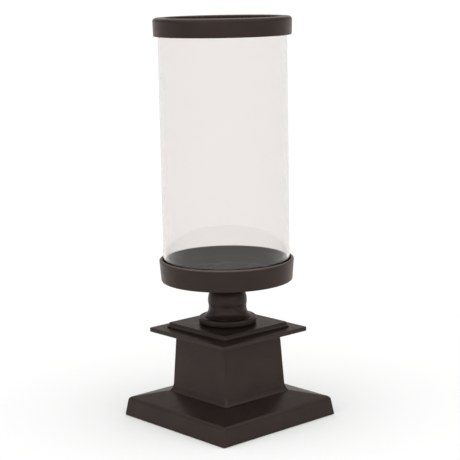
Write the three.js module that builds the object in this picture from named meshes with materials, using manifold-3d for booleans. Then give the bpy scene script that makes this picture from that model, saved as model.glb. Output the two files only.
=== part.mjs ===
// Hurricane candle lantern: a square plinth and pedestal, a turned stem, a shallow round dish and an open
// glass cylinder with a loose metal collar on its rim. A threaded rod holds the stand together from inside.
// Millimetres, +Z up, origin at the centre of the plane the rubber pads rest on, plinth sides along X and Y.
import * as THREE from 'three';
import { mergeVertices } from 'three/addons/utils/BufferGeometryUtils.js';
import Module from 'manifold-3d';

const wasm = await Module();
wasm.setup();

// ---- Driving dimensions -------------------------------------------------------------------------------
// Heights are quarters of a millimetre, so that faces which touch lie exactly in one plane.

const glassDiameter = 150;
const glassWall = 3;
const glassLength = 300;
const glassEdgeChamfer = 0.75;

const collarPlate = 4.25;
const collarHeight = 21.25;
const collarBottomRadius = 80.1;
const collarTopRadius = 80.6;
const collarShoulder = 4.25;
const collarMouthRadius = 68.5;
const collarSkirtInner = 76.9;
const collarEdgeChamfer = 0.75;

const dishBaseRadius = 78.1;
const dishLipRadius = 79.85;
const dishFloor = 4.25;
const dishHeight = 25.75;
const dishInnerRadius = 76.2;
const dishBottomEdge = 1.25;
const dishLipEdge = 1.25;
const bossRadius = 11;
const bossHeight = 10;
const bossBoreTop = 0.75;

const stemHeight = 44.75;
const stemBall = { radius: 23.3, height: 19.5, curve: 24.5, fromDeg: -14, toDeg: 29 };
const stemFoot = { radius: 27.75, edge: 0.75, bendIn: 0.4, bendBelowBall: 9 };
const stemNeck = { bendIn: 2.5, bendHeight: 36.75 };
const stemHead = { radius: 25, thickness: 4 };

const footRingHeight = 8.25;
const footRingRadius = 34.3;
const footRingBead = { lower: 2.5, upper: 2, fromDeg: -75 };

const stepHeight = 6.25;
const stepTopHalf = 50;
const stepBottomHalf = 52;
const stepLip = 1.5;
const stepCove = { foot: 1.5, bendOut: 0.2, bendUp: 0.6 };

const flangeThickness = 5.25;
const flangeHalf = 66.75;
const flangeEdge = 1;

const pedestalHeight = 73.5;
const pedestalTopHalf = 44.75;
const pedestalBottomHalf = 47.75;
const pedestalWall = 4;
const pedestalInnerBottomHalf = 44.25;
const pedestalInnerEdge = 2;
const pedestalTopFlare = { curve: 9, height: 6.25 };
const pedestalFootFlare = { curve: 19, height: 11.75 };

const plinthHeight = 29.75;
const plinthHalf = 90;
const plinthRimHeight = 22.75;
const plinthRimTopHalf = 87.3;
const plinthRimShoulder = { radius: 5, toDeg: 75 };
const plinthWall = 4;
const plinthEaveWall = 5;
const plinthSeatHalf = 53;
const plinthOpeningHalf = 38;
const registerHeight = 3;
const seatGap = 0.3;

const rodRadius = 4;
const clearBoreRadius = 4.5;
const threadGap = 0.3;
const rodTipGap = 1;
const rodEndChamfer = 0.75;
const rodProud = 2.5;
const clampBar = { length: 100, width: 20, thickness: 4 };
const flatWasher = { radius: 8, thickness: 1.5 };
const springWasher = { radius: 7.25, thickness: 2, slitDeg: 8 };
const nutAcrossFlats = 13;
const nutHeight = 6.5;

const padRadius = 7.5;
const padThickness = 3;
const padProud = 0.5;
const padEdge = 0.75;
const padCentre = 73;
const padBossRadius = 8;
const padBossTop = 22.75;

const largeTurn = 64;
const stemTurn = 40;
const smallTurn = 24;

// ---- Levels, from the pads up -------------------------------------------------------------------------

const plinthLevel = padProud;
const pedestalLevel = plinthLevel + plinthHeight;
const flangeLevel = pedestalLevel + pedestalHeight;
const stepLevel = flangeLevel + flangeThickness;
const footRingLevel = stepLevel + stepHeight;
const stemLevel = footRingLevel + footRingHeight;
const dishLevel = stemLevel + stemHeight;
const glassLevel = dishLevel + dishFloor;
const collarLevel = glassLevel + glassLength + collarPlate - collarHeight;

const seatLevel = pedestalLevel;
const clampLevel = seatLevel - plinthWall - clampBar.thickness;
const flatWasherLevel = clampLevel - flatWasher.thickness;
const springWasherLevel = flatWasherLevel - springWasher.thickness;
const nutLevel = springWasherLevel - nutHeight;
const rodBottom = nutLevel - rodProud;
const rodTop = dishLevel - bossBoreTop - rodTipGap;

// ---- Profiles and solids ------------------------------------------------------------------------------

const at = (r, z) => new THREE.Vector2(r, z);

// Points along an arc in the profile plane. Angles run from the outward direction towards +Z.
function arc(centreR, centreZ, radius, startDeg, endDeg, steps) {
  const points = [];
  for (let i = 0; i <= steps; i++) {
    const angle = THREE.MathUtils.degToRad(startDeg + (endDeg - startDeg) * i / steps);
    points.push(at(centreR + radius * Math.cos(angle), centreZ + radius * Math.sin(angle)));
  }
  return points;
}

// A profile runs anticlockwise: up its outer side and down its inner side.
const closed = (profile) => [...profile, profile[0].clone()];

// A body turned about Z.
function turned(profile, segments) {
  return new THREE.LatheGeometry(profile, segments).rotateX(Math.PI / 2);
}

// A square body with mitred corners. The profile gives half sides in place of radii.
function mitred(profile) {
  const diagonal = profile.map((p) => at(p.x * Math.SQRT2, p.y));
  return new THREE.LatheGeometry(diagonal, 4, Math.PI / 4).rotateX(Math.PI / 2);
}

function cylinder(radius, low, high, segments) {
  return new THREE.CylinderGeometry(radius, radius, high - low, segments)
    .rotateX(Math.PI / 2)
    .translate(0, 0, (low + high) / 2);
}

function toSolid(geometry) {
  const bare = geometry.clone();
  bare.deleteAttribute('normal');
  bare.deleteAttribute('uv');
  const merged = mergeVertices(bare);
  const index = merged.index.array;
  const triangles = [];
  for (let i = 0; i < index.length; i += 3) {
    const [a, b, c] = index.slice(i, i + 3);
    if (a !== b && b !== c && c !== a) triangles.push(a, b, c);
  }
  return new wasm.Manifold(new wasm.Mesh({
    numProp: 3,
    vertProperties: new Float32Array(merged.attributes.position.array),
    triVerts: new Uint32Array(triangles),
  }));
}

function toGeometry(solid) {
  const mesh = solid.getMesh();
  const geometry = new THREE.BufferGeometry();
  geometry.setAttribute('position', new THREE.BufferAttribute(mesh.vertProperties, 3));
  geometry.setIndex(new THREE.BufferAttribute(mesh.triVerts, 1));
  geometry.computeVertexNormals();
  return geometry;
}

// The same body with a round hole for the rod along Z.
function bored(geometry, low, high) {
  const drill = cylinder(clearBoreRadius, low - 1, high + 1, smallTurn);
  return toGeometry(toSolid(geometry).subtract(toSolid(drill)));
}

// ---- Loose top pieces ---------------------------------------------------------------------------------

// A metal ring: a skirt around the glass and a flat rim that rests on the glass edge.
function topCollar() {
  const underside = collarHeight - collarPlate;
  const shoulderZ = collarHeight - collarShoulder;
  const outer = [
    at(collarBottomRadius, 0),
    ...arc(collarTopRadius - collarShoulder, shoulderZ, collarShoulder, 0, 90, 5),
  ];
  const mouth = [
    at(collarMouthRadius + collarEdgeChamfer, collarHeight),
    at(collarMouthRadius, collarHeight - collarEdgeChamfer),
    at(collarMouthRadius, underside + collarEdgeChamfer),
    at(collarMouthRadius + collarEdgeChamfer, underside),
  ];
  const skirt = [
    at(collarSkirtInner - collarEdgeChamfer, underside),
    at(collarSkirtInner, underside - collarEdgeChamfer),
    at(collarSkirtInner, collarEdgeChamfer),
    at(collarSkirtInner + collarEdgeChamfer, 0),
  ];
  return turned(closed([...outer, ...mouth, ...skirt]), largeTurn);
}

// An open glass tube with both edges taken off.
function glassChimney() {
  const outer = glassDiameter / 2;
  const inner = outer - glassWall;
  const edge = glassEdgeChamfer;
  return turned(closed([
    at(outer - edge, 0),
    at(outer, edge),
    at(outer, glassLength - edge),
    at(outer - edge, glassLength),
    at(inner + edge, glassLength),
    at(inner, glassLength - edge),
    at(inner, edge),
    at(inner + edge, 0),
  ]), largeTurn);
}

// ---- The stand ----------------------------------------------------------------------------------------

// A shallow pan with a slightly leaning wall, and a tapped boss below that plugs into the stem.
function candleDish() {
  const bore = rodRadius + threadGap;
  const corner = dishInnerRadius - dishLipEdge / 2;
  return turned([
    at(0, -bossBoreTop),
    at(bore, -bossBoreTop),
    at(bore, -bossHeight),
    at(bossRadius, -bossHeight),
    at(bossRadius, 0),
    ...arc(dishBaseRadius - dishBottomEdge, dishBottomEdge, dishBottomEdge, -90, 0, 3),
    ...arc(dishLipRadius - dishLipEdge, dishHeight - dishLipEdge, dishLipEdge, 0, 90, 3),
    at(dishInnerRadius + dishLipEdge / 2, dishHeight),
    at(dishInnerRadius, dishHeight - dishLipEdge / 2),
    at(dishInnerRadius, dishFloor + dishLipEdge / 2),
    at(corner, dishFloor),
    at(0, dishFloor),
  ], largeTurn);
}

// A ball between a concave foot and a narrow neck, under a flat round head.
function stem() {
  const socket = bossRadius + threadGap;
  const socketFloor = stemHeight - bossHeight - threadGap;
  const { radius, height, curve, fromDeg, toDeg } = stemBall;
  const ball = arc(radius - curve, height, curve, fromDeg, toDeg, 7);
  const waist = ball[0];
  const foot = new THREE.QuadraticBezierCurve(
    at(stemFoot.radius, stemFoot.edge),
    at(waist.x - stemFoot.bendIn, waist.y - stemFoot.bendBelowBall),
    waist,
  ).getPoints(7).slice(0, -1);
  const ballTop = ball[ball.length - 1];
  const neck = new THREE.QuadraticBezierCurve(
    ballTop,
    at(ballTop.x - stemNeck.bendIn, stemNeck.bendHeight),
    at(stemHead.radius, stemHeight - stemHead.thickness),
  ).getPoints(6).slice(1);
  return turned(closed([
    at(stemFoot.radius, 0),
    ...foot,
    ...ball,
    ...neck,
    at(stemHead.radius, stemHeight),
    at(socket, stemHeight),
    at(socket, socketFloor),
    at(clearBoreRadius, socketFloor),
    at(clearBoreRadius, 0),
  ]), stemTurn);
}

// A round disc with a beaded edge.
function footRing() {
  const { lower, upper, fromDeg } = footRingBead;
  return turned(closed([
    ...arc(footRingRadius - lower, lower, lower, fromDeg, 0, 3),
    ...arc(footRingRadius - upper, footRingHeight - upper, upper, 0, 90, 3),
    at(clearBoreRadius, footRingHeight),
    at(clearBoreRadius, 0),
  ]), stemTurn);
}

// A square step: a thin upright lip above a concave side.
function stepPlate() {
  const { foot, bendOut, bendUp } = stepCove;
  const cove = new THREE.QuadraticBezierCurve(
    at(stepBottomHalf, foot),
    at(stepTopHalf + bendOut, foot + bendUp),
    at(stepTopHalf, stepHeight - stepLip),
  ).getPoints(4);
  const blank = mitred([
    at(0, 0),
    at(stepBottomHalf, 0),
    ...cove,
    at(stepTopHalf, stepHeight),
    at(0, stepHeight),
  ]);
  return bored(blank, 0, stepHeight);
}

// A wide thin square plate with softened edges.
function flangePlate() {
  const blank = mitred([
    at(0, 0),
    ...arc(flangeHalf - flangeEdge, flangeEdge, flangeEdge, -90, 0, 2),
    ...arc(flangeHalf - flangeEdge, flangeThickness - flangeEdge, flangeEdge, 0, 90, 2),
    at(0, flangeThickness),
  ]);
  return bored(blank, 0, flangeThickness);
}

// A hollow square block, closed on top and open below, that flares out at both ends.
function pedestal() {
  const foot = pedestalFootFlare;
  const top = pedestalTopFlare;
  const topStart = pedestalHeight - top.height;
  const footTurn = THREE.MathUtils.radToDeg(Math.asin(foot.height / foot.curve));
  const topTurn = THREE.MathUtils.radToDeg(Math.asin(top.height / top.curve));
  const footArc = arc(pedestalBottomHalf + foot.curve, foot.height, foot.curve, 180 + footTurn, 180, 5);
  const topArc = arc(pedestalTopHalf + top.curve, topStart, top.curve, 180, 180 - topTurn, 4);
  const innerTop = pedestalTopHalf - pedestalWall;
  const ceiling = pedestalHeight - pedestalWall;
  const blank = mitred([
    at(0, ceiling),
    at(innerTop - pedestalInnerEdge, ceiling),
    at(innerTop, ceiling - pedestalInnerEdge),
    at(pedestalInnerBottomHalf, 0),
    ...footArc,
    ...topArc,
    at(0, pedestalHeight),
  ]);
  return bored(blank, ceiling, pedestalHeight);
}

// A wide hollow base, open below: a leaning rim, a hipped top, a raised register that centres the pedestal
// around a square opening, and a boss in each corner for a pad.
function plinth() {
  const rimTop = plinthRimHeight;
  const leanDeg = THREE.MathUtils.radToDeg(Math.atan2(plinthHalf - plinthRimTopHalf, rimTop));
  const { radius, toDeg } = plinthRimShoulder;
  const shoulderArc = arc(plinthRimTopHalf - radius, rimTop - radius, radius, leanDeg, toDeg, 3);
  const register = pedestalInnerBottomHalf - seatGap;
  const shell = mitred(closed([
    at(plinthHalf, 0),
    ...shoulderArc,
    at(plinthSeatHalf, plinthHeight),
    at(register, plinthHeight),
    at(register, plinthHeight + registerHeight),
    at(plinthOpeningHalf, plinthHeight + registerHeight),
    at(plinthOpeningHalf, plinthHeight - plinthWall),
    at(plinthSeatHalf, plinthHeight - plinthWall),
    at(plinthRimTopHalf - plinthWall, rimTop - plinthEaveWall),
    at(plinthHalf - plinthWall, 0),
  ]));
  let body = toSolid(shell);
  for (const { x, y } of pads) {
    const boss = cylinder(padBossRadius, padThickness - padProud, padBossTop, smallTurn);
    body = body.add(toSolid(boss.translate(x, y, 0)));
  }
  return toGeometry(body);
}

// ---- Inside the stand ---------------------------------------------------------------------------------

function tieRod() {
  const length = rodTop - rodBottom;
  return turned([
    at(0, 0),
    at(rodRadius - rodEndChamfer, 0),
    at(rodRadius, rodEndChamfer),
    at(rodRadius, length - rodEndChamfer),
    at(rodRadius - rodEndChamfer, length),
    at(0, length),
  ], smallTurn);
}

// A flat bar with round ends and a hole in the middle.
function clampBarBody() {
  const half = clampBar.width / 2;
  const straight = clampBar.length / 2 - half;
  const outline = new THREE.Shape()
    .absarc(straight, 0, half, -Math.PI / 2, Math.PI / 2)
    .absarc(-straight, 0, half, Math.PI / 2, Math.PI * 1.5);
  outline.closePath();
  outline.holes.push(new THREE.Path().absarc(0, 0, clearBoreRadius, 0, Math.PI * 2));
  return new THREE.ExtrudeGeometry(outline, {
    depth: clampBar.thickness,
    bevelEnabled: false,
    curveSegments: 8,
  });
}

function flatWasherBody() {
  const bore = rodRadius + threadGap;
  return turned(closed([
    at(flatWasher.radius, 0),
    at(flatWasher.radius, flatWasher.thickness),
    at(bore, flatWasher.thickness),
    at(bore, 0),
  ]), smallTurn);
}

// A ring with a slit through it, pressed flat by the nut.
function springWasherBody() {
  const slit = THREE.MathUtils.degToRad(springWasher.slitDeg);
  const outline = new THREE.Shape()
    .absarc(0, 0, springWasher.radius, slit, Math.PI * 2 - slit)
    .absarc(0, 0, rodRadius + threadGap, Math.PI * 2 - slit, slit, true);
  outline.closePath();
  return new THREE.ExtrudeGeometry(outline, {
    depth: springWasher.thickness,
    bevelEnabled: false,
    curveSegments: smallTurn,
  });
}

function hexNut() {
  const corner = nutAcrossFlats / Math.sqrt(3);
  const outline = new THREE.Shape();
  for (let i = 0; i < 6; i++) {
    const angle = i * Math.PI / 3;
    const place = [corner * Math.cos(angle), corner * Math.sin(angle)];
    if (i === 0) outline.moveTo(...place);
    else outline.lineTo(...place);
  }
  outline.closePath();
  outline.holes.push(new THREE.Path().absarc(0, 0, rodRadius + threadGap, 0, Math.PI * 2));
  return new THREE.ExtrudeGeometry(outline, {
    depth: nutHeight,
    bevelEnabled: false,
    curveSegments: smallTurn / 2,
  });
}

// ---- Rubber pads --------------------------------------------------------------------------------------

const pads = [
  { place: 'front_left', x: -padCentre, y: -padCentre },
  { place: 'front_right', x: padCentre, y: -padCentre },
  { place: 'back_left', x: -padCentre, y: padCentre },
  { place: 'back_right', x: padCentre, y: padCentre },
];

function footPad() {
  return turned([
    at(0, 0),
    at(padRadius - padEdge, 0),
    at(padRadius, padEdge),
    at(padRadius, padThickness),
    at(0, padThickness),
  ], smallTurn);
}

// ---- Materials ----------------------------------------------------------------------------------------

const darkBronze = () => new THREE.MeshStandardMaterial({
  color: 0x38332f, roughness: 0.38, metalness: 0.55,
});
const clearGlass = () => new THREE.MeshStandardMaterial({
  color: 0xe9f1f0, roughness: 0.04, metalness: 0, transparent: true, opacity: 0.3,
});
const zincSteel = () => new THREE.MeshStandardMaterial({ color: 0xb4b8bb, roughness: 0.35, metalness: 0.9 });
const blackRubber = () => new THREE.MeshStandardMaterial({ color: 0x1d1c1b, roughness: 0.85, metalness: 0 });

// ---- Assembly -----------------------------------------------------------------------------------------

const lantern = new THREE.Group();

function place(parent, name, geometry, material, x, y, z) {
  const mesh = new THREE.Mesh(geometry, material);
  mesh.name = name;
  mesh.position.set(x, y, z);
  parent.add(mesh);
}

const stand = new THREE.Group();
place(stand, 'plinth', plinth(), darkBronze(), 0, 0, plinthLevel);
place(stand, 'pedestal', pedestal(), darkBronze(), 0, 0, pedestalLevel);
place(stand, 'flange_plate', flangePlate(), darkBronze(), 0, 0, flangeLevel);
place(stand, 'step_plate', stepPlate(), darkBronze(), 0, 0, stepLevel);
place(stand, 'foot_ring', footRing(), darkBronze(), 0, 0, footRingLevel);
place(stand, 'stem', stem(), darkBronze(), 0, 0, stemLevel);
place(stand, 'candle_dish', candleDish(), darkBronze(), 0, 0, dishLevel);
for (const pad of pads) {
  place(stand, `foot_pad_${pad.place}`, footPad(), blackRubber(), pad.x, pad.y, 0);
}

const fixings = new THREE.Group();
place(fixings, 'tie_rod', tieRod(), zincSteel(), 0, 0, rodBottom);
place(fixings, 'clamp_bar', clampBarBody(), zincSteel(), 0, 0, clampLevel);
place(fixings, 'flat_washer', flatWasherBody(), zincSteel(), 0, 0, flatWasherLevel);
place(fixings, 'spring_washer', springWasherBody(), zincSteel(), 0, 0, springWasherLevel);
place(fixings, 'hex_nut', hexNut(), zincSteel(), 0, 0, nutLevel);
stand.add(fixings);

const liftOff = new THREE.Group();
place(liftOff, 'glass_chimney', glassChimney(), clearGlass(), 0, 0, glassLevel);
place(liftOff, 'top_collar', topCollar(), darkBronze(), 0, 0, collarLevel);

lantern.add(stand, liftOff);

export default lantern;
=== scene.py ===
"""Builds a hurricane candle lantern: an open glass cylinder with a loose metal collar, standing in a shallow
dish on a turned stem, over a square stepped stand that one threaded rod holds together."""

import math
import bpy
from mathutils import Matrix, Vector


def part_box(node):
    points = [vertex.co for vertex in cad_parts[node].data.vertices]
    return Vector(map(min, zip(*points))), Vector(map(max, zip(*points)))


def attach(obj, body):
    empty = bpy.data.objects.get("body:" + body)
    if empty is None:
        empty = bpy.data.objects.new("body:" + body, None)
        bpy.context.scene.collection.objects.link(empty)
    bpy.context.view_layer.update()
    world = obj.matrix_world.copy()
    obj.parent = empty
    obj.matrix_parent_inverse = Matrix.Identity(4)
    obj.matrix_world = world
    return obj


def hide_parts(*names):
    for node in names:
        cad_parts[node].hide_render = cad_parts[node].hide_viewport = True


bl_info = {
    "name": "Hurricane Candle Lantern",
    "version": (1, 0, 0),
    "blender": (4, 5, 0),
    "location": "3D View > Sidebar > Lantern",
    "description": "Models a candle lantern with a loose glass and collar on a turned, stepped stand",
    "category": "Add Mesh",
}

import bpy
from bpy.props import FloatProperty, FloatVectorProperty, PointerProperty
from mathutils import Matrix

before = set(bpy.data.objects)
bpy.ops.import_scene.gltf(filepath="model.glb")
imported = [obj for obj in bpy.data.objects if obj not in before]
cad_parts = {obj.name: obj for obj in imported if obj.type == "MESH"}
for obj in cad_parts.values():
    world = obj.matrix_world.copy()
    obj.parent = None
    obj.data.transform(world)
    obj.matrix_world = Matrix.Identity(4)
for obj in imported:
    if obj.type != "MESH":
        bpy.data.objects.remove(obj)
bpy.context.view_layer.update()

MM = 0.001
GLASS_SIDES = 192
ROUND_SIDES = 128
STEM_SIDES = 96
SMALL_SIDES = 48
THREAD_SIDES = 20
WELD = 0.5e-6  # points nearer to each other than this are one point
FIT = 0.3 * MM  # clearance all round between pieces that plug into each other
CORNERS = ("front_left", "front_right", "back_left", "back_right")


# ---- Sizes that come from the frame ----


def level(node):
    """The height of a node's lowest face."""
    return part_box(node)[0].z


def height(node):
    low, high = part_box(node)
    return high.z - low.z


def half_width(node):
    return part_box(node)[1].x


def centre(node):
    low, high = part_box(node)
    return (low + high) / 2


# ---- Settings ----


def length(name, description, default):
    return FloatProperty(
        name=name,
        description=description,
        default=default,
        min=0,
        subtype="DISTANCE",
        unit="LENGTH",
        precision=5,
    )


def angle(name, description, degrees):
    return FloatProperty(
        name=name, description=description, default=math.radians(degrees), subtype="ANGLE", unit="ROTATION"
    )


def share(name, description, default):
    return FloatProperty(name=name, description=description, default=default, min=0, max=1, subtype="FACTOR")


def number(name, description, default, least=0):
    return FloatProperty(name=name, description=description, default=default, min=least)


def colour(name, description, default):
    return FloatVectorProperty(
        name=name, description=description, default=default, min=0, max=1, size=3, subtype="COLOR"
    )


class CollarSizes(bpy.types.PropertyGroup):
    plate: length("Rim thickness", "Thickness of the flat rim that rests on the glass", 4.2 * MM)
    flare: length("Skirt flare", "How far the skirt leans in at its lower edge", 0.5 * MM)
    shoulder: length("Shoulder radius", "Rounding between the skirt and the flat rim", 4.25 * MM)
    mouth: length("Mouth radius", "Radius of the opening in the flat rim", 68.5 * MM)
    skirt_inside: length("Skirt inner radius", "Inner radius of the skirt around the glass", 76.9 * MM)
    edge: length("Edge rounding", "Rounding of the mouth and of the lower edge", 1.2 * MM)


class GlassSizes(bpy.types.PropertyGroup):
    wall: length("Wall", "Thickness of the glass", 3 * MM)
    rim: length("Rim rounding", "Rounding of the fire-polished rims", 1.2 * MM)


class DishSizes(bpy.types.PropertyGroup):
    floor: length("Floor thickness", "Thickness of the dish under the candle", 4.25 * MM)
    base: length("Base radius", "Outer radius where the wall meets the underside", 78.1 * MM)
    inside: length("Inner radius", "Inner radius of the wall, just wider than the glass", 76.2 * MM)
    lip: length("Lip rounding", "Rounding on the outside of the lip", 2 * MM)
    lip_inside: length("Inner lip rounding", "Rounding on the inside of the lip", 0.8 * MM)
    bottom_edge: length("Lower edge rounding", "Rounding under the wall", 1.4 * MM)
    boss: length("Boss radius", "Radius of the tapped boss that plugs into the stem", 11 * MM)
    boss_depth: length("Boss depth", "How far the boss reaches below the dish", 10 * MM)
    boss_edge: length("Boss chamfer", "Chamfer around the end of the boss", 0.5 * MM)
    tapping_top: length("Tapping top", "Thickness left between the tapped hole and the underside", 0.75 * MM)


class StemSizes(bpy.types.PropertyGroup):
    ball: length("Ball radius", "Widest radius of the ball", 23.3 * MM)
    ball_height: length("Ball height", "Height of the ball's widest ring above the foot", 19.5 * MM)
    ball_curve: length("Ball curve", "Radius of the ball's profile", 24.5 * MM)
    ball_from: angle("Ball start", "Angle of the ball's profile where the foot begins", -14)
    ball_to: angle("Ball end", "Angle of the ball's profile where the neck begins", 29)
    foot_edge: length("Foot edge", "Height of the upright edge of the foot", 0.75 * MM)
    foot_bend_in: length("Foot bend in", "How far inside the waist the foot's curve aims", 0.4 * MM)
    foot_bend_down: length("Foot bend down", "How far below the waist the foot's curve aims", 9 * MM)
    neck_bend_in: length("Neck bend in", "How far inside the ball's top the neck's curve aims", 2.5 * MM)
    neck_bend_height: length("Neck bend height", "Height that the neck's curve aims at", 36.75 * MM)
    head: length("Head radius", "Radius of the flat head under the dish", 25 * MM)
    head_thickness: length("Head thickness", "Thickness of the flat head", 4 * MM)
    head_edge: length("Head rounding", "Rounding of the head's edge", 1 * MM)


class FootRingSizes(bpy.types.PropertyGroup):
    lower_bead: length("Lower bead", "Rounding of the lower bead", 2.5 * MM)
    upper_bead: length("Upper bead", "Rounding of the upper bead", 2 * MM)
    lower_bead_from: angle("Lower bead start", "Angle at which the lower bead begins", -75)


class PlateSizes(bpy.types.PropertyGroup):
    step_top: length("Step top half", "Half the side of the step's upper lip", 50 * MM)
    step_lip: length("Step lip", "Height of the step's upper lip", 1.5 * MM)
    step_foot: length("Step foot", "Height of the step's upright foot", 1.5 * MM)
    step_bend_out: length("Cove bend out", "How far outside the lip the cove's curve aims", 0.2 * MM)
    step_bend_up: length("Cove bend up", "How far above the foot the cove's curve aims", 0.6 * MM)
    flange_edge: length("Flange rounding", "Rounding of the flange's edges", 1 * MM)
    corner: length("Corner radius", "Radius of the upright corners of both plates", 1.6 * MM)
    arris: length("Small edges", "Rounding of the step's edges", 0.35 * MM)


class PedestalSizes(bpy.types.PropertyGroup):
    top: length("Top half", "Half the side below the upper flare", 44.75 * MM)
    bottom: length("Bottom half", "Half the side above the lower flare", 47.75 * MM)
    top_curve: length("Upper flare radius", "Radius of the upper flare's profile", 9 * MM)
    top_flare: length("Upper flare height", "Height of the upper flare", 6.25 * MM)
    foot_curve: length("Lower flare radius", "Radius of the lower flare's profile", 19 * MM)
    foot_flare: length("Lower flare height", "Height of the lower flare", 11.75 * MM)
    wall: length("Wall", "Thickness of the casting", 4 * MM)
    inside: length("Inner half", "Half the side of the hollow at its foot", 44.25 * MM)
    ceiling_edge: length("Ceiling chamfer", "Chamfer between the walls and the ceiling inside", 2 * MM)
    corner: length("Corner radius", "Radius of the upright corners", 2.6 * MM)
    arris: length("Small edges", "Rounding of the foot's edge", 0.3 * MM)


class PlinthSizes(bpy.types.PropertyGroup):
    rim_height: length("Rim height", "Height of the leaning rim", 22.75 * MM)
    rim_top: length("Rim top half", "Half the side at the top of the rim", 87.3 * MM)
    shoulder: length("Shoulder", "Rounding between the rim and the hipped top", 5 * MM)
    shoulder_end: angle("Shoulder end", "Angle of the shoulder's profile where the hipped top begins", 75)
    seat: length("Seat half", "Half the side of the flat seat under the pedestal", 53 * MM)
    opening: length("Opening half", "Half the side of the opening under the pedestal", 38 * MM)
    register: length("Register height", "Height of the ring that centres the pedestal", 3 * MM)
    roof: length("Roof height", "Height of the seat above the lower edge", 29.75 * MM)
    wall: length("Wall", "Thickness of the casting", 4 * MM)
    eave_wall: length("Eave wall", "Thickness under the shoulder", 5 * MM)
    corner: length("Corner radius", "Radius of the upright corners", 2 * MM)
    arris: length("Small edges", "Rounding of the lower edge", 0.5 * MM)
    boss: length("Pad boss radius", "Radius of the boss above each pad", 8 * MM)
    boss_foot: length("Pad boss foot", "Height of each boss above the plinth's lower edge", 2.5 * MM)
    boss_top: length("Pad boss top", "Height at which each boss ends inside the roof", 22.75 * MM)


class FixingSizes(bpy.types.PropertyGroup):
    rod: length("Rod radius", "Outer radius of the thread", 4 * MM)
    pitch: length("Thread pitch", "Rise of one turn of the thread", 1.25 * MM)
    thread_depth: length("Thread depth", "Depth of the thread", 0.65 * MM)
    thread_flank: share("Thread flank", "Share of the pitch that each flank of the thread takes", 0.42)
    clear_hole: length("Clear hole radius", "Radius of the holes that the rod passes through", 4.5 * MM)
    close_hole: length("Close hole radius", "Radius of the holes in the washers and the nut", 4.3 * MM)
    nut_flats: length("Nut across flats", "Width of the nut between two flats", 13 * MM)
    nut_face: length("Nut face radius", "Radius of the nut's flat faces", 6.25 * MM)
    nut_chamfer: angle("Nut chamfer", "Slope of the nut's turned-off corners", 30)
    edge: length("Edge rounding", "Rounding of the punched edges", 0.35 * MM)
    slit: angle("Washer slit", "Width of the slit in the spring washer", 16)


class PadSizes(bpy.types.PropertyGroup):
    edge: length("Edge rounding", "Rounding of the pad's lower edge", 1 * MM)
    ring: length("Ring radius", "Radius of the ring moulded into the underside", 4.6 * MM)
    ring_depth: length("Ring depth", "Depth of the moulded ring", 0.35 * MM)


class Finishes(bpy.types.PropertyGroup):
    bronze: colour("Bronze paint", "Colour of the thick paint", (0.0240, 0.0175, 0.0152))
    bronze_thin: colour("Bronze paint, thin", "Colour of the thin paint", (0.0300, 0.0215, 0.0185))
    # Painted highlight: a lighter paint colour, and how far down it fades from an upper edge, standing in
    # for the light line that the edge catches; the labels call it rubbed paint
    bronze_painted_highlight: colour("Bronze paint, rubbed", "Colour of the rubbed paint", (0.150, 0.122, 0.108))
    painted_highlight_fade: length("Rubbed edge", "How far down the rubbing fades from an upper edge", 1.5 * MM)
    bronze_flake: share("Metal flake", "Share of metallic flake in the paint", 0.4)
    bronze_roughness: share("Paint roughness", "Roughness of the satin paint", 0.33)
    bronze_index: number("Paint index", "Refractive index of the paint", 1.4, least=1)
    bronze_sheen: colour("Paint reflection", "Tint of the paint's reflection", (0.68, 0.56, 0.52))
    glass: colour("Glass tint", "Tint of the glass surface", (0.95, 0.935, 0.928))
    glass_body: colour("Glass body colour", "Colour that the glass takes on with depth", (0.30, 0.20, 0.15))
    glass_density: number("Glass density", "How strongly the glass body takes up light", 30)
    glass_index: number("Glass index", "Refractive index of the glass", 1.5, least=1)
    steel: colour("Zinc-plated steel", "Colour of the fixings", (0.60, 0.61, 0.62))
    steel_roughness: share("Steel roughness", "Roughness of the zinc plating", 0.32)
    rubber: colour("Rubber", "Colour of the pads", (0.022, 0.021, 0.020))
    rubber_roughness: share("Rubber roughness", "Roughness of the pads", 0.78)


class StageSettings(bpy.types.PropertyGroup):
    floor: colour("Floor colour", "Colour of the plain floor", (0.88, 0.88, 0.875))
    floor_half: length("Floor half", "Half the side of the floor", 60.0)
    floor_roughness: share("Floor roughness", "Roughness of the plain floor", 0.9)
    sky: number("Room light", "Brightness of the plain room", 0.6)
    sun: number("Lamp", "Strength of the large soft lamp", 2.25)
    sun_size: angle("Lamp size", "Angular size of the soft lamp", 130)
    sun_tilt: angle("Lamp tilt", "Tilt of the lamp from straight overhead", 33)
    sun_heading: angle("Lamp heading", "Bearing that the lamp shines from", 49)
    sun_height: length("Lamp height", "Height that the lamp hangs at, which its light doesn't depend on", 2)
    camera_distance: length("Camera distance", "Level distance from the lantern's axis", 1654.2 * MM)
    camera_height: length("Camera height", "Height above the floor", 524.8 * MM)
    camera_place: angle("Camera place", "Bearing of the camera around the axis", 48.04)
    camera_heading: angle("Camera heading", "Bearing that the camera looks from", 47.88)
    camera_pitch: angle("Camera pitch", "How far the camera looks down", 10.21)
    camera_roll: angle("Camera roll", "How far the camera leans", -1.05)
    camera_lens: number("Lens", "Focal length in millimetres", 111.2, least=10)


class LanternSettings(bpy.types.PropertyGroup):
    collar: PointerProperty(type=CollarSizes)
    glass: PointerProperty(type=GlassSizes)
    dish: PointerProperty(type=DishSizes)
    stem: PointerProperty(type=StemSizes)
    foot_ring: PointerProperty(type=FootRingSizes)
    plates: PointerProperty(type=PlateSizes)
    pedestal: PointerProperty(type=PedestalSizes)
    plinth: PointerProperty(type=PlinthSizes)
    fixings: PointerProperty(type=FixingSizes)
    pads: PointerProperty(type=PadSizes)
    finishes: PointerProperty(type=Finishes)
    stage: PointerProperty(type=StageSettings)


# ---- Profiles, as (radius or half side, height) pairs ----


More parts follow.
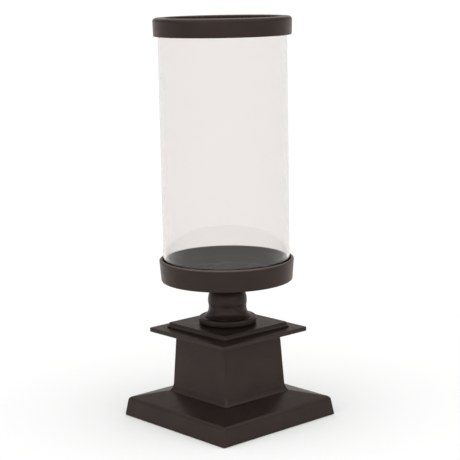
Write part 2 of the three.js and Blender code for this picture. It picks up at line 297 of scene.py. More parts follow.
def arc(centre, radius, start, end, steps):
    """Points on an arc, with its angles in degrees from the outward direction towards +Z."""
    points = []
    for i in range(steps + 1):
        turn = math.radians(start + (end - start) * i / steps)
        points.append((centre[0] + radius * math.cos(turn), centre[1] + radius * math.sin(turn)))
    return points


def bend(start, control, end, steps):
    """Points on a quadratic curve."""
    points = []
    for i in range(steps + 1):
        t = i / steps
        points.append(
            tuple((1 - t) ** 2 * a + 2 * t * (1 - t) * b + t**2 * c for a, b, c in zip(start, control, end))
        )
    return points


def raised(profile, z):
    return [(r, h + z) for r, h in profile]


# ---- Modelling helpers ----


def select_none():
    bpy.ops.object.select_all(action="DESELECT")


def settle():
    """Puts the place, turn and scale of the selected piece into its mesh."""
    bpy.ops.object.transform_apply(location=True, rotation=True, scale=True)


def name_piece(name):
    piece = bpy.context.object
    piece.name = name
    piece.data.name = name
    return piece


def edit_all():
    bpy.ops.object.mode_set(mode="EDIT")
    bpy.ops.mesh.select_all(action="SELECT")


def extrude_through(profile):
    """Extrudes the selected loop, which lies at the profile's first point, through the other points."""
    for (r, z), (next_r, next_z) in zip(profile, profile[1:]):
        bpy.ops.mesh.extrude_edges_move(TRANSFORM_OT_translate={"value": (0, 0, next_z - z)})
        if next_r != r:
            grow = next_r / r
            bpy.ops.transform.resize(value=(grow, grow, 1), center_override=(0, 0, next_z))


def join_open_edges():
    """Bridges a piece's last loop back to its first one."""
    bpy.ops.mesh.select_all(action="DESELECT")
    bpy.ops.mesh.select_non_manifold()
    bpy.ops.mesh.bridge_edge_loops()


def cap_loop():
    """Fills the selected loop with a ring of faces that meet in its middle."""
    bpy.ops.mesh.extrude_edges_move(TRANSFORM_OT_translate={"value": (0, 0, 0)})
    bpy.ops.mesh.merge(type="CENTER")


def turned_ring(name, profile, sides=ROUND_SIDES):
    """A round piece with a hole through it, whose profile closes on itself."""
    select_none()
    bpy.ops.mesh.primitive_circle_add(vertices=sides, radius=profile[0][0], location=(0, 0, profile[0][1]))
    piece = name_piece(name)
    edit_all()
    extrude_through(profile)
    join_open_edges()
    return piece


def turned_solid(name, profile, sides=ROUND_SIDES):
    """A round piece whose profile begins and ends with a flat cap."""
    select_none()
    bpy.ops.mesh.primitive_circle_add(
        vertices=sides, radius=profile[0][0], fill_type="TRIFAN", location=(0, 0, profile[0][1])
    )
    piece = name_piece(name)
    edit_all()
    bpy.ops.mesh.select_all(action="DESELECT")
    bpy.ops.mesh.select_non_manifold()
    extrude_through(profile)
    cap_loop()
    return piece


def squared_ring(name, profile, corner, corner_steps=5):
    """A square piece with rounded corners and a hole through it, whose profile gives half sides."""
    select_none()
    bpy.ops.mesh.primitive_plane_add(size=2 * profile[0][0], location=(0, 0, profile[0][1]))
    piece = name_piece(name)
    edit_all()
    bpy.ops.mesh.bevel(offset=corner, segments=corner_steps, affect="VERTICES")
    bpy.ops.mesh.select_all(action="SELECT")
    bpy.ops.mesh.delete(type="ONLY_FACE")
    bpy.ops.mesh.select_all(action="SELECT")
    extrude_through(profile)
    join_open_edges()
    return piece


def leave_edit():
    """Welds the open piece, turns its faces outwards and puts its place into its mesh."""
    bpy.ops.mesh.select_all(action="SELECT")
    bpy.ops.mesh.remove_doubles(threshold=WELD)
    bpy.ops.mesh.normals_make_consistent(inside=False)
    bpy.ops.object.mode_set(mode="OBJECT")
    settle()


def only(piece):
    """Selects one object, which the next operators then act on."""
    select_none()
    piece.select_set(True)
    bpy.context.view_layer.objects.active = piece


def apply_modifier(piece, kind, **values):
    only(piece)
    bpy.ops.object.modifier_add(type=kind)
    modifier = piece.modifiers[-1]
    for key, value in values.items():
        setattr(modifier, key, value)
    bpy.ops.object.modifier_apply(modifier=modifier.name)


def cut_or_join(piece, tool, operation):
    """Uses up a second mesh to cut, trim or extend a piece."""
    apply_modifier(piece, "BOOLEAN", object=tool, operation=operation, solver="EXACT")
    only(tool)
    bpy.ops.object.delete()
    only(piece)


def upright_cylinder(radius, low, high, place=(0, 0)):
    """A cylinder between two heights, for cutting or joining."""
    select_none()
    bpy.ops.mesh.primitive_cylinder_add(
        vertices=SMALL_SIDES, radius=radius, depth=high - low, location=(*place, (low + high) / 2)
    )
    return bpy.context.object


def soften(piece, width, steps):
    """Rounds the sharp edges of a punched piece."""
    sharp = math.radians(50)
    apply_modifier(piece, "BEVEL", width=width, segments=steps, limit_method="ANGLE", angle_limit=sharp)


def smooth(piece, degrees=35):
    """Smooths the curves and keeps the flats flat."""
    only(piece)
    bpy.ops.object.shade_smooth_by_angle(angle=math.radians(degrees))
    apply_modifier(piece, "WEIGHTED_NORMAL", mode="FACE_AREA", weight=80, keep_sharp=True)


# ---- Finishes ----


class Finish:
    """A material under construction, with short calls for the nodes that it uses."""

    def __init__(self, name):
        self.material = bpy.data.materials.new(name)
        self.material.use_nodes = True
        self.tree = self.material.node_tree
        self.shader = self.tree.nodes["Principled BSDF"]
        self.place = self.tree.nodes.new("ShaderNodeTexCoord").outputs["Object"]

    def node(self, kind, **settings):
        made = self.tree.nodes.new(kind)
        for key, value in settings.items():
            setattr(made, key, value)
        return made

    def link(self, source, target):
        self.tree.links.new(source, target)

    def set(self, socket, value):
        """Gives the shader a value that is the same all over the piece."""
        self.shader.inputs[socket].default_value = value

    def feed(self, socket, source):
        """Gives the shader a value that changes over the piece."""
        self.link(source, self.shader.inputs[socket])

    def grain(self, size, detail=3.0, roughness=0.5, place=None):
        """Noise whose patches are about that size."""
        noise = self.node("ShaderNodeTexNoise")
        noise.inputs["Scale"].default_value = 1 / size
        noise.inputs["Detail"].default_value = detail
        noise.inputs["Roughness"].default_value = roughness
        self.link(place or self.place, noise.inputs["Vector"])
        return noise.outputs["Fac"]

    def between(self, value, low, high, from_low=0.3, from_high=0.7):
        """Maps values from one range onto another, by default from the range that noise mostly fills."""
        scaled = self.node("ShaderNodeMapRange")
        scaled.inputs["From Min"].default_value = from_low
        scaled.inputs["From Max"].default_value = from_high
        scaled.inputs["To Min"].default_value = low
        scaled.inputs["To Max"].default_value = high
        self.link(value, scaled.inputs["Value"])
        return scaled.outputs["Result"]

    def blend(self, factor, first, second):
        mixed = self.node("ShaderNodeMix", data_type="RGBA")
        mixed.inputs["A"].default_value = (*first, 1)
        mixed.inputs["B"].default_value = (*second, 1)
        self.link(factor, mixed.inputs["Factor"])
        return mixed.outputs["Result"]

    def times(self, first, second):
        product = self.node("ShaderNodeMath", operation="MULTIPLY")
        self.link(first, product.inputs[0])
        self.link(second, product.inputs[1])
        return product.outputs["Value"]

    def relief(self, height_value, depth, strength=1.0, below=None):
        """Bump of that depth, on top of another bump if one is given."""
        bump = self.node("ShaderNodeBump")
        bump.inputs["Strength"].default_value = strength
        bump.inputs["Distance"].default_value = depth
        self.link(height_value, bump.inputs["Height"])
        if below is not None:
            self.link(below, bump.inputs["Normal"])
        return bump.outputs["Normal"]


def bronze_paint(finishes, painted_highlight_top=None):
    """Satin dark bronze paint over a sand casting, with a painted highlight along an upper edge if its
    height is given, mottled like rubbed paint.
    """
    finish = Finish("Satin dark bronze paint")
    cloud = finish.between(finish.grain(28 * MM, detail=4), 0, 1)
    coat = finish.blend(cloud, finishes.bronze, finishes.bronze_thin)
    # Painted highlight: the colour lightens within a band below the given upper edge, broken up by noise;
    # the blend is still named rubbed
    if painted_highlight_top is not None:
        up = finish.node("ShaderNodeSeparateXYZ")
        finish.link(finish.place, up.inputs["Vector"])
        near = finish.between(up.outputs["Z"], 0, 1, painted_highlight_top - finishes.painted_highlight_fade, painted_highlight_top)
        painted_highlight_mask = finish.times(near, finish.between(finish.grain(6 * MM), 0.7, 1))
        rubbed = finish.blend(painted_highlight_mask, finishes.bronze, finishes.bronze_painted_highlight)
        finish.link(coat, rubbed.node.inputs["A"])
        coat = rubbed
    finish.feed("Base Color", coat)
    rough = finishes.bronze_roughness
    patches = finish.between(finish.grain(9 * MM, detail=5), rough - 0.04, rough + 0.05)
    finish.feed("Roughness", patches)
    casting = finish.relief(finish.grain(8 * MM, detail=2), 0.03 * MM, strength=0.5)
    paint = finish.relief(finish.grain(0.8 * MM, detail=2), 0.002 * MM, strength=0.5, below=casting)
    finish.feed("Normal", paint)
    finish.set("Metallic", finishes.bronze_flake)
    finish.set("IOR", finishes.bronze_index)
    finish.set("Specular Tint", (*finishes.bronze_sheen, 1))
    return finish.material


def clear_glass(finishes):
    """Clear drawn glass with a barely uneven surface."""
    finish = Finish("Clear drawn glass")
    finish.set("Base Color", (*finishes.glass, 1))
    finish.set("Transmission Weight", 1)
    finish.set("IOR", finishes.glass_index)
    handled = finish.between(finish.grain(40 * MM, detail=2), 0.0, 0.012)
    finish.feed("Roughness", handled)
    drawn = finish.node("ShaderNodeMapping")
    drawn.inputs["Scale"].default_value = (1, 1, 0.25)
    finish.link(finish.place, drawn.inputs["Vector"])
    waves = finish.grain(30 * MM, detail=1, place=drawn.outputs["Vector"])
    finish.feed("Normal", finish.relief(waves, 0.012 * MM))
    body = finish.node("ShaderNodeVolumeAbsorption")
    body.inputs["Color"].default_value = (*finishes.glass_body, 1)
    body.inputs["Density"].default_value = finishes.glass_density
    finish.link(body.outputs["Volume"], finish.tree.nodes["Material Output"].inputs["Volume"])
    return finish.material


def zinc_steel(finishes):
    """Bright zinc plating on steel."""
    finish = Finish("Zinc-plated steel")
    dull = tuple(0.82 * c for c in finishes.steel)
    spangle = finish.blend(finish.between(finish.grain(3 * MM, detail=4), 0, 1), finishes.steel, dull)
    finish.feed("Base Color", spangle)
    finish.set("Metallic", 1)
    rough = finishes.steel_roughness
    dulling = finish.between(finish.grain(1.2 * MM), rough - 0.06, rough + 0.1)
    finish.feed("Roughness", dulling)
    finish.feed("Normal", finish.relief(finish.grain(0.6 * MM), 0.01 * MM))
    return finish.material


def black_rubber(finishes):
    """Moulded black rubber with a dusty bloom."""
    finish = Finish("Moulded black rubber")
    bloom = tuple(1.5 * c for c in finishes.rubber)
    patches = finish.between(finish.grain(4 * MM, detail=4), 0, 1)
    finish.feed("Base Color", finish.blend(patches, finishes.rubber, bloom))
    rough = finishes.rubber_roughness
    rubbed = finish.between(finish.grain(2 * MM), rough - 0.08, rough + 0.08)
    finish.feed("Roughness", rubbed)
    finish.feed("Normal", finish.relief(finish.grain(0.35 * MM), 0.03 * MM, strength=0.6))
    return finish.material


def finish_for(context, make, *values):
    """The material that a function makes, made once for its values and then shared."""
    key = "_".join(["lantern", make.__name__, *(f"{value:.5f}" for value in values)])
    if key not in context.scene:
        context.scene[key] = make(context.scene.lantern.finishes, *values).name
    return bpy.data.materials[context.scene[key]]


# ---- What all the pieces share ----


def deliver(context, piece, node, body, make, *values):
    """Gives a finished piece its body and its finish, and hides the imported part that it stands for."""
    piece.data.materials.clear()
    piece.data.materials.append(finish_for(context, make, *values))
    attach(piece, body)
    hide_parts(node)


class Undoable:
    """Options that all the operators share."""

    bl_options = {"REGISTER", "UNDO"}


# ---- Loose top pieces ----


class LANTERN_OT_collar(Undoable, bpy.types.Operator):
    """Turn the loose metal collar that sits on the rim of the glass"""

    bl_idname = "lantern.collar"
    bl_label = "Collar"

    def execute(self, context):
        sizes = context.scene.lantern.collar
        outer = half_width("top_collar")
        top = height("top_collar")
        edge = sizes.edge
        under = top - sizes.plate
        bottom = outer - sizes.flare
        corner = sizes.shoulder
        profile = [
            *arc((bottom - edge, edge), edge, -90, 0, 4),
            *arc((outer - corner, top - corner), corner, 0, 90, 10),
            *arc((sizes.mouth + edge, top - edge), edge, 90, 180, 5),
            *arc((sizes.mouth + edge / 2, under + edge / 2), edge / 2, 180, 270, 3),
            (sizes.skirt_inside - edge / 2, under),
            (sizes.skirt_inside, under - edge / 2),
            *arc((sizes.skirt_inside + edge / 2, edge / 2), edge / 2, 180, 270, 3),
        ]
        piece = turned_ring("collar_casting", raised(profile, level("top_collar")))
        leave_edit()
        smooth(piece)
        # The height passed here puts the painted highlight along the collar's top edge
        deliver(context, piece, "top_collar", "collar", bronze_paint, level("top_collar") + top)
        return {"FINISHED"}


class LANTERN_OT_glass(Undoable, bpy.types.Operator):
    """Draw the open glass cylinder and fire-polish its rims"""

    bl_idname = "lantern.glass"
    bl_label = "Glass"

    def execute(self, context):
        sizes = context.scene.lantern.glass
        outer = half_width("glass_chimney")
        inner = outer - sizes.wall
        top = height("glass_chimney")
        rim = sizes.rim
        profile = [
            *arc((outer - rim, rim), rim, -90, 0, 6),
            *arc((outer - rim, top - rim), rim, 0, 90, 6),
            *arc((inner + rim, top - rim), rim, 90, 180, 6),
            *arc((inner + rim, rim), rim, 180, 270, 6),
        ]
        piece = turned_ring("glass_cylinder", raised(profile, level("glass_chimney")), GLASS_SIDES)
        leave_edit()
        smooth(piece)
        deliver(context, piece, "glass_chimney", "glass", clear_glass)
        return {"FINISHED"}


# ---- The stand, from the dish down ----


class LANTERN_OT_dish(Undoable, bpy.types.Operator):
    """Turn the shallow dish, with its tapped boss below"""

    bl_idname = "lantern.dish"
    bl_label = "Dish"

    def execute(self, context):
        sizes = context.scene.lantern.dish
        outer = half_width("candle_dish")
        under = level("candle_dish") + sizes.boss_depth
        top = height("candle_dish") - sizes.boss_depth
        bore = context.scene.lantern.fixings.close_hole
        chamfer = sizes.boss_edge
        edge = sizes.bottom_edge
        lip = sizes.lip
        inner_lip = sizes.lip_inside
        profile = [
            (bore, -sizes.tapping_top),
            (bore, chamfer - sizes.boss_depth),
            (bore + chamfer, -sizes.boss_depth),
            (sizes.boss - chamfer, -sizes.boss_depth),
            (sizes.boss, chamfer - sizes.boss_depth),
            (sizes.boss, 0),
            *arc((sizes.base - edge, edge), edge, -90, 0, 5),
            *arc((outer - lip, top - lip), lip, 0, 90, 6),
            *arc((sizes.inside + inner_lip, top - inner_lip), inner_lip, 90, 180, 4),
            *arc((sizes.inside - inner_lip, sizes.floor + inner_lip), inner_lip, 0, -90, 4),
            (sizes.inside / 2, sizes.floor),
        ]
        piece = turned_solid("dish_casting", raised(profile, under))
        leave_edit()
        smooth(piece)
        # The height passed here puts the painted highlight along the dish's lip
        deliver(context, piece, "candle_dish", "stand", bronze_paint, under + top)
        return {"FINISHED"}


class LANTERN_OT_stem(Undoable, bpy.types.Operator):
    """Turn the stem: a ball between a concave foot and a narrow neck, under a flat head"""

    bl_idname = "lantern.stem"
    bl_label = "Stem"

    def execute(self, context):
        sizes = context.scene.lantern.stem
        dish = context.scene.lantern.dish
        fixings = context.scene.lantern.fixings
        top = height("stem")
        foot = half_width("stem")
        socket = dish.boss + FIT
        socket_floor = top - dish.boss_depth - FIT
        edge = sizes.head_edge
        ball = arc(
            (sizes.ball - sizes.ball_curve, sizes.ball_height),
            sizes.ball_curve,
            math.degrees(sizes.ball_from),
            math.degrees(sizes.ball_to),
            16,
        )
        waist = ball[0]
        shoulder = ball[-1]
        profile = [
            (foot, 0),
            *bend(
                (foot, sizes.foot_edge),
                (waist[0] - sizes.foot_bend_in, waist[1] - sizes.foot_bend_down),
                waist,
                14,
            ),
            *ball[1:],
            *bend(
                shoulder,
                (shoulder[0] - sizes.neck_bend_in, sizes.neck_bend_height),
                (sizes.head, top - sizes.head_thickness),
                14,
            )[1:],
            *arc((sizes.head - edge, top - edge), edge, 0, 90, 4),
            (socket, top),
            (socket, socket_floor),
            (fixings.clear_hole, socket_floor),
            (fixings.clear_hole, 0),
        ]
        piece = turned_ring("stem_turning", raised(profile, level("stem")), STEM_SIDES)
        leave_edit()
        smooth(piece)
        deliver(context, piece, "stem", "stand", bronze_paint)
        return {"FINISHED"}


class LANTERN_OT_foot_ring(Undoable, bpy.types.Operator):
    """Turn the round disc with a beaded edge under the stem"""

    bl_idname = "lantern.foot_ring"
    bl_label = "Foot ring"

    def execute(self, context):
        sizes = context.scene.lantern.foot_ring
        hole = context.scene.lantern.fixings.clear_hole
        outer = half_width("foot_ring")
        top = height("foot_ring")
        lower = sizes.lower_bead
        upper = sizes.upper_bead
        profile = [
            (hole, 0),
            (outer - lower, 0),
            *arc((outer - lower, lower), lower, math.degrees(sizes.lower_bead_from), 0, 8),
            *arc((outer - upper, top - upper), upper, 0, 90, 8),
            (hole, top),
        ]
        piece = turned_ring("foot_ring_turning", raised(profile, level("foot_ring")), STEM_SIDES)
        leave_edit()
        smooth(piece)
        deliver(context, piece, "foot_ring", "stand", bronze_paint)
        return {"FINISHED"}


class LANTERN_OT_plates(Undoable, bpy.types.Operator):
    """Cast the coved square step and the wide flange under it"""

    bl_idname = "lantern.plates"
    bl_label = "Step and flange"

    def step_profile(self, sizes, hole):
        top = height("step_plate")
        foot = half_width("step_plate")
        arris = sizes.arris
        lip_under = top - sizes.step_lip
        return [
            *arc((foot - arris, arris), arris, -90, 0, 3),
            *bend(
                (foot, sizes.step_foot),
                (sizes.step_top + sizes.step_bend_out, sizes.step_foot + sizes.step_bend_up),
                (sizes.step_top, lip_under),
                10,
            ),
            *arc((sizes.step_top - arris, top - arris), arris, 0, 90, 3),
            (hole, top),
            (hole, 0),
        ]

    def flange_profile(self, sizes, hole):
        top = height("flange_plate")
        outer = half_width("flange_plate")
        edge = sizes.flange_edge
        return [
            *arc((outer - edge, edge), edge, -90, 0, 5),
            *arc((outer - edge, top - edge), edge, 0, 90, 5),
            (hole, top),
            (hole, 0),
        ]

    def execute(self, context):
        sizes = context.scene.lantern.plates
        hole = context.scene.lantern.fixings.clear_hole
        plates = [
            ("step_casting", "step_plate", self.step_profile(sizes, hole)),
            ("flange_casting", "flange_plate", self.flange_profile(sizes, hole)),
        ]
        for name, node, profile in plates:
            piece = squared_ring(name, raised(profile, level(node)), sizes.corner)
            leave_edit()
            smooth(piece)
            deliver(context, piece, node, "stand", bronze_paint)
        return {"FINISHED"}


class LANTERN_OT_pedestal(Undoable, bpy.types.Operator):
    """Cast the hollow square pedestal that flares out at both ends"""

    bl_idname = "lantern.pedestal"
    bl_label = "Pedestal"

    def execute(self, context):
        sizes = context.scene.lantern.pedestal
        hole = context.scene.lantern.fixings.clear_hole
        top = height("pedestal")
        arris = sizes.arris
        foot_turn = math.degrees(math.asin(sizes.foot_flare / sizes.foot_curve))
        top_turn = math.degrees(math.asin(sizes.top_flare / sizes.top_curve))
        foot_arc = arc(
            (sizes.bottom + sizes.foot_curve, sizes.foot_flare), sizes.foot_curve, 180 + foot_turn, 180, 14
        )
        top_arc = arc(
            (sizes.top + sizes.top_curve, top - sizes.top_flare), sizes.top_curve, 180, 180 - top_turn, 12
        )
        ceiling = top - sizes.wall
        inside_top = sizes.top - sizes.wall
        profile = [
            (foot_arc[0][0] - arris, 0),
            (foot_arc[0][0], arris),
            *foot_arc[1:],
            *top_arc,
            (hole, top),
            (hole, ceiling),
            (inside_top - sizes.ceiling_edge, ceiling),
            (inside_top, ceiling - sizes.ceiling_edge),
            (sizes.inside, 0),
        ]
        piece = squared_ring("pedestal_casting", raised(profile, level("pedestal")), sizes.corner)
        leave_edit()
        smooth(piece)
        deliver(context, piece, "pedestal", "stand", bronze_paint)
        return {"FINISHED"}


class LANTERN_OT_plinth(Undoable, bpy.types.Operator):
    """Cast the hollow plinth, with its leaning rim, hipped top and pad bosses"""

    bl_idname = "lantern.plinth"
    bl_label = "Plinth"

    def execute(self, context):
        sizes = context.scene.lantern.plinth
        outer = half_width("plinth")
        rim = sizes.rim_height
        roof = sizes.roof
        arris = sizes.arris
        lean = math.degrees(math.atan2(outer - sizes.rim_top, rim))
        register = context.scene.lantern.pedestal.inside - FIT
        shoulder = sizes.shoulder
        shoulder_end = math.degrees(sizes.shoulder_end)
        profile = [
            (outer - arris, 0),
            (outer, arris),
            *arc((sizes.rim_top - shoulder, rim - shoulder), shoulder, lean, shoulder_end, 8),
            (sizes.seat, roof),
            (register, roof),
            (register, roof + sizes.register),
            (sizes.opening, roof + sizes.register),
            (sizes.opening, roof - sizes.wall),
            (sizes.seat, roof - sizes.wall),
            (sizes.rim_top - sizes.wall, rim - sizes.eave_wall),
            (outer - sizes.wall, 0),
        ]
        base = level("plinth")
        piece = squared_ring("plinth_casting", raised(profile, base), sizes.corner, corner_steps=6)
        leave_edit()
        for corner in CORNERS:
            place = centre(f"foot_pad_{corner}").xy
            boss = upright_cylinder(sizes.boss, base + sizes.boss_foot, base + sizes.boss_top, place)
            cut_or_join(piece, boss, "UNION")
        smooth(piece)
        deliver(context, piece, "plinth", "stand", bronze_paint)
        return {"FINISHED"}


# ---- Inside the stand ----


class LANTERN_OT_rod(Undoable, bpy.types.Operator):
    """Roll the long threaded rod that holds the stand together"""

    bl_idname = "lantern.rod"
    bl_label = "Threaded rod"

    def execute(self, context):
        sizes = context.scene.lantern.fixings
        low = level("tie_rod")
        high = low + height("tie_rod")
        below, above = 2, 1  # spare turns past the rod's ends, which are cut off again
        turns = below + math.ceil((high - low) / sizes.pitch) + above
        select_none()
        bpy.ops.mesh.primitive_plane_add(size=MM, location=(sizes.rod, 0, low - below * sizes.pitch))
        piece = name_piece("threaded_rod")
        edit_all()
        bpy.ops.mesh.merge(type="CENTER")
        slope = sizes.pitch * sizes.thread_flank
        flat = sizes.pitch / 2 - slope
        for r, z in ((0, flat), (-sizes.thread_depth, slope), (0, flat), (sizes.thread_depth, slope)):
            bpy.ops.mesh.extrude_vertices_move(TRANSFORM_OT_translate={"value": (r, 0, z)})
        bpy.ops.object.mode_set(mode="OBJECT")
        settle()
        apply_modifier(
            piece,
            "SCREW",
            axis="Z",
            screw_offset=sizes.pitch,
            iterations=turns,
            steps=THREAD_SIDES,
            render_steps=THREAD_SIDES,
        )
        edit_all()
        bpy.ops.mesh.remove_doubles(threshold=WELD)
        for z, way in ((low, -1), (high, 1)):
            bpy.ops.mesh.select_all(action="SELECT")
            bpy.ops.mesh.bisect(
                plane_co=(0, 0, z), plane_no=(0, 0, way), use_fill=True, clear_outer=True, threshold=WELD
            )
        leave_edit()
        smooth(piece, degrees=25)
        deliver(context, piece, "tie_rod", "stand", zinc_steel)
        return {"FINISHED"}


class LANTERN_OT_clamp_bar(Undoable, bpy.types.Operator):
    """Punch the flat bar that spreads the nut's pull"""

    bl_idname = "lantern.clamp_bar"
    bl_label = "Clamp bar"

    def execute(self, context):
        sizes = context.scene.lantern.fixings
        low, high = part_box("clamp_bar")
        size = high - low
        select_none()
        bpy.ops.mesh.primitive_cube_add(size=1, scale=size, location=centre("clamp_bar"))
        piece = name_piece("clamp_strap")
        settle()
        edit_all()
        bpy.ops.mesh.select_all(action="DESELECT")
        bpy.ops.mesh.select_mode(type="EDGE")
        bpy.ops.object.mode_set(mode="OBJECT")
        for edge in piece.data.edges:
            ends = [piece.data.vertices[i].co for i in edge.vertices]
            edge.select = abs(ends[0].z - ends[1].z) > size.z / 2
        bpy.ops.object.mode_set(mode="EDIT")
        gap = 0.01 * MM  # the two rounded corners of one end stop just short of each other
        bpy.ops.mesh.bevel(offset=size.y / 2 - gap, segments=14)
        leave_edit()
        hole = upright_cylinder(sizes.clear_hole, low.z - MM, high.z + MM)
        cut_or_join(piece, hole, "DIFFERENCE")
        soften(piece, sizes.edge, 3)
        smooth(piece)
        deliver(context, piece, "clamp_bar", "stand", zinc_steel)
        return {"FINISHED"}


class LANTERN_OT_washers(Undoable, bpy.types.Operator):
    """Punch the flat washer and coil the spring washer"""

    bl_idname = "lantern.washers"
    bl_label = "Washers"

    def flat_washer(self, sizes):
        low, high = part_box("flat_washer")
        edge = sizes.edge
        profile = [
            *arc((high.x - edge, low.z + edge), edge, -90, 0, 3),
            *arc((high.x - edge, high.z - edge), edge, 0, 90, 3),
            (sizes.close_hole, high.z),
            (sizes.close_hole, low.z),
        ]
        piece = turned_ring("plain_washer", profile, SMALL_SIDES)
        leave_edit()
        return piece

    def spring_washer(self, sizes):
        low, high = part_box("spring_washer")
        outer = max(high.y, -low.y)
        select_none()
        bpy.ops.mesh.primitive_plane_add(
            size=1,
            location=((outer + sizes.close_hole) / 2, 0, (low.z + high.z) / 2),
            rotation=(math.pi / 2, 0, 0),
        )
        piece = name_piece("split_washer")
        piece.scale = (outer - sizes.close_hole, high.z - low.z, 1)
        settle()
        edit_all()
        bpy.ops.transform.rotate(value=-sizes.slit / 2, orient_axis="Z", center_override=(0, 0, 0))
        bpy.ops.mesh.spin(steps=60, angle=2 * math.pi - sizes.slit, center=(0, 0, 0), axis=(0, 0, 1))
        leave_edit()
        soften(piece, sizes.edge / 2, 2)
        return piece

    def execute(self, context):
        sizes = context.scene.lantern.fixings
        for node, make in (("flat_washer", self.flat_washer), ("spring_washer", self.spring_washer)):
            piece = make(sizes)
            smooth(piece)
            deliver(context, piece, node, "stand", zinc_steel)
        return {"FINISHED"}


class LANTERN_OT_nut(Undoable, bpy.types.Operator):
    """Forge the hexagon nut, with its corners turned off"""

    bl_idname = "lantern.nut"
    bl_label = "Nut"

    def execute(self, context):
        sizes = context.scene.lantern.fixings
        low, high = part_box("hex_nut")
        corner = sizes.nut_flats / math.sqrt(3)
        face = sizes.nut_face
        edge = sizes.edge
        reach = corner + edge
        drop = (reach - face) * math.tan(sizes.nut_chamfer)
        select_none()
        bpy.ops.mesh.primitive_cylinder_add(
            vertices=6,
            radius=corner,
            depth=high.z - low.z,
            location=centre("hex_nut"),
            rotation=(0, 0, math.pi / 6),
        )
        piece = name_piece("nut")
        settle()
        profile = [
            (sizes.close_hole, low.z + edge),
            (sizes.close_hole + edge, low.z),
            (face, low.z),
            (reach, low.z + drop),
            (reach, high.z - drop),
            (face, high.z),
            (sizes.close_hole + edge, high.z),
            (sizes.close_hole, high.z - edge),
        ]
        envelope = turned_ring("nut_envelope", profile)
        half_step = math.pi / ROUND_SIDES
        bpy.ops.mesh.select_all(action="SELECT")
        bpy.ops.transform.rotate(value=half_step, orient_axis="Z", center_override=(0, 0, 0))
        leave_edit()
        cut_or_join(piece, envelope, "INTERSECT")
        smooth(piece, degrees=20)
        deliver(context, piece, "hex_nut", "stand", zinc_steel)
        return {"FINISHED"}


class LANTERN_OT_pads(Undoable, bpy.types.Operator):
    """Mould one rubber pad and copy it to the four corners"""

    bl_idname = "lantern.pads"
    bl_label = "Rubber pads"

    def execute(self, context):
        sizes = context.scene.lantern.pads
        low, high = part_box("foot_pad_front_left")
        radius = (high.x - low.x) / 2
        edge = sizes.edge
        groove = sizes.ring_depth
        profile = [
            (sizes.ring - groove, groove),
            (sizes.ring, groove),
            (sizes.ring + groove, 0),
            *arc((radius - edge, edge), edge, -90, 0, 5),
            *arc((radius - edge / 4, high.z - edge / 4), edge / 4, 0, 90, 2),
        ]
        first = turned_solid("rubber_pad", profile, SMALL_SIDES)
        leave_edit()
        smooth(first)
        for corner in CORNERS:
            only(first)
            bpy.ops.object.duplicate()
            piece = name_piece(f"rubber_pad_{corner}")
            piece.location.xy = centre(f"foot_pad_{corner}").xy
            settle()
            deliver(context, piece, f"foot_pad_{corner}", "stand", black_rubber)
        only(first)
        bpy.ops.object.delete()
        return {"FINISHED"}


# ---- Stage ----


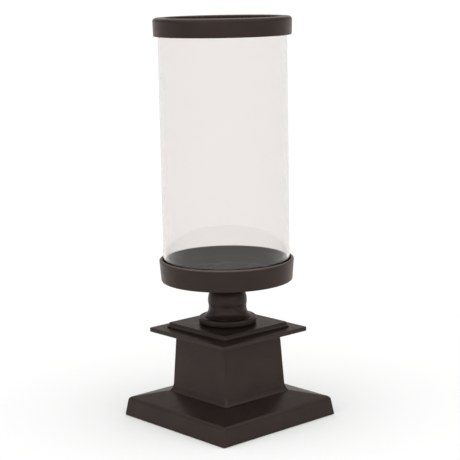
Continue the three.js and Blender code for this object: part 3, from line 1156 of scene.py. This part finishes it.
class LANTERN_OT_stage(Undoable, bpy.types.Operator):
    """Lay the plain floor and set up the soft light and the camera"""

    bl_idname = "lantern.stage"
    bl_label = "Stage"

    def lay_floor(self, stage):
        select_none()
        bpy.ops.mesh.primitive_plane_add(size=2 * stage.floor_half)
        floor = name_piece("floor")
        finish = Finish("Plain pale floor")
        finish.set("Base Color", (*stage.floor, 1))
        finish.set("Roughness", stage.floor_roughness)
        finish.set("Specular IOR Level", 0)
        floor.data.materials.append(finish.material)

    def light_room(self, context, stage):
        world = bpy.data.worlds.new("Plain room")
        world.use_nodes = True
        background = world.node_tree.nodes["Background"]
        background.inputs["Color"].default_value = (1, 1, 1, 1)
        background.inputs["Strength"].default_value = stage.sky
        context.scene.world = world

    def hang_lamp(self, stage):
        turn = Matrix.Rotation(stage.sun_heading, 4, "Z") @ Matrix.Rotation(stage.sun_tilt, 4, "X")
        bpy.ops.object.light_add(type="SUN", location=(0, 0, stage.sun_height), rotation=turn.to_euler())
        lamp = bpy.context.object
        lamp.name = "soft_lamp"
        lamp.data.energy = stage.sun
        lamp.data.angle = stage.sun_size

    def place_camera(self, context, stage):
        bearing = stage.camera_place
        place = (
            stage.camera_distance * math.sin(bearing),
            -stage.camera_distance * math.cos(bearing),
            stage.camera_height,
        )
        turn = (
            Matrix.Rotation(stage.camera_heading, 4, "Z")
            @ Matrix.Rotation(math.pi / 2 - stage.camera_pitch, 4, "X")
            @ Matrix.Rotation(stage.camera_roll, 4, "Z")
        )
        bpy.ops.object.camera_add(location=place, rotation=turn.to_euler())
        camera = bpy.context.object
        camera.name = "camera"
        camera.data.lens = stage.camera_lens
        camera.data.clip_end = 4 * stage.floor_half
        context.scene.camera = camera

    def execute(self, context):
        stage = context.scene.lantern.stage
        self.lay_floor(stage)
        self.light_room(context, stage)
        self.hang_lamp(stage)
        self.place_camera(context, stage)
        context.scene.view_settings.view_transform = "Standard"
        return {"FINISHED"}


# ---- Panel and registration ----


class LANTERN_PT_sidebar(bpy.types.Panel):
    """Lists the lantern's pieces with their sizes, and the finishes"""

    bl_idname = "LANTERN_PT_sidebar"
    bl_label = "Candle lantern"
    bl_space_type = "VIEW_3D"
    bl_region_type = "UI"
    bl_category = "Lantern"

    def draw(self, context):
        settings = context.scene.lantern
        for operator, group in PIECES:
            box = self.layout.box()
            box.operator(operator.bl_idname)
            if group is not None:
                self.show(box, getattr(settings, group))
        box = self.layout.box()
        box.label(text="Finishes")
        self.show(box, settings.finishes)

    def show(self, box, group):
        for name in group.__annotations__:
            box.prop(group, name)


PIECES = (
    (LANTERN_OT_stage, "stage"),
    (LANTERN_OT_plinth, "plinth"),
    (LANTERN_OT_pedestal, "pedestal"),
    (LANTERN_OT_plates, "plates"),
    (LANTERN_OT_foot_ring, "foot_ring"),
    (LANTERN_OT_stem, "stem"),
    (LANTERN_OT_dish, "dish"),
    (LANTERN_OT_rod, "fixings"),
    (LANTERN_OT_clamp_bar, None),
    (LANTERN_OT_washers, None),
    (LANTERN_OT_nut, None),
    (LANTERN_OT_pads, "pads"),
    (LANTERN_OT_glass, "glass"),
    (LANTERN_OT_collar, "collar"),
)

CLASSES = (
    CollarSizes,
    GlassSizes,
    DishSizes,
    StemSizes,
    FootRingSizes,
    PlateSizes,
    PedestalSizes,
    PlinthSizes,
    FixingSizes,
    PadSizes,
    Finishes,
    StageSettings,
    LanternSettings,
    *(operator for operator, group in PIECES),
    LANTERN_PT_sidebar,
)


def register():
    for cls in CLASSES:
        bpy.utils.register_class(cls)
    bpy.types.Scene.lantern = PointerProperty(type=LanternSettings)


def unregister():
    del bpy.types.Scene.lantern
    for cls in reversed(CLASSES):
        bpy.utils.unregister_class(cls)


def main():
    register()
    for operator, group in PIECES:
        category, name = operator.bl_idname.split(".")
        getattr(getattr(bpy.ops, category), name)()


if __name__ == "__main__":
    main()
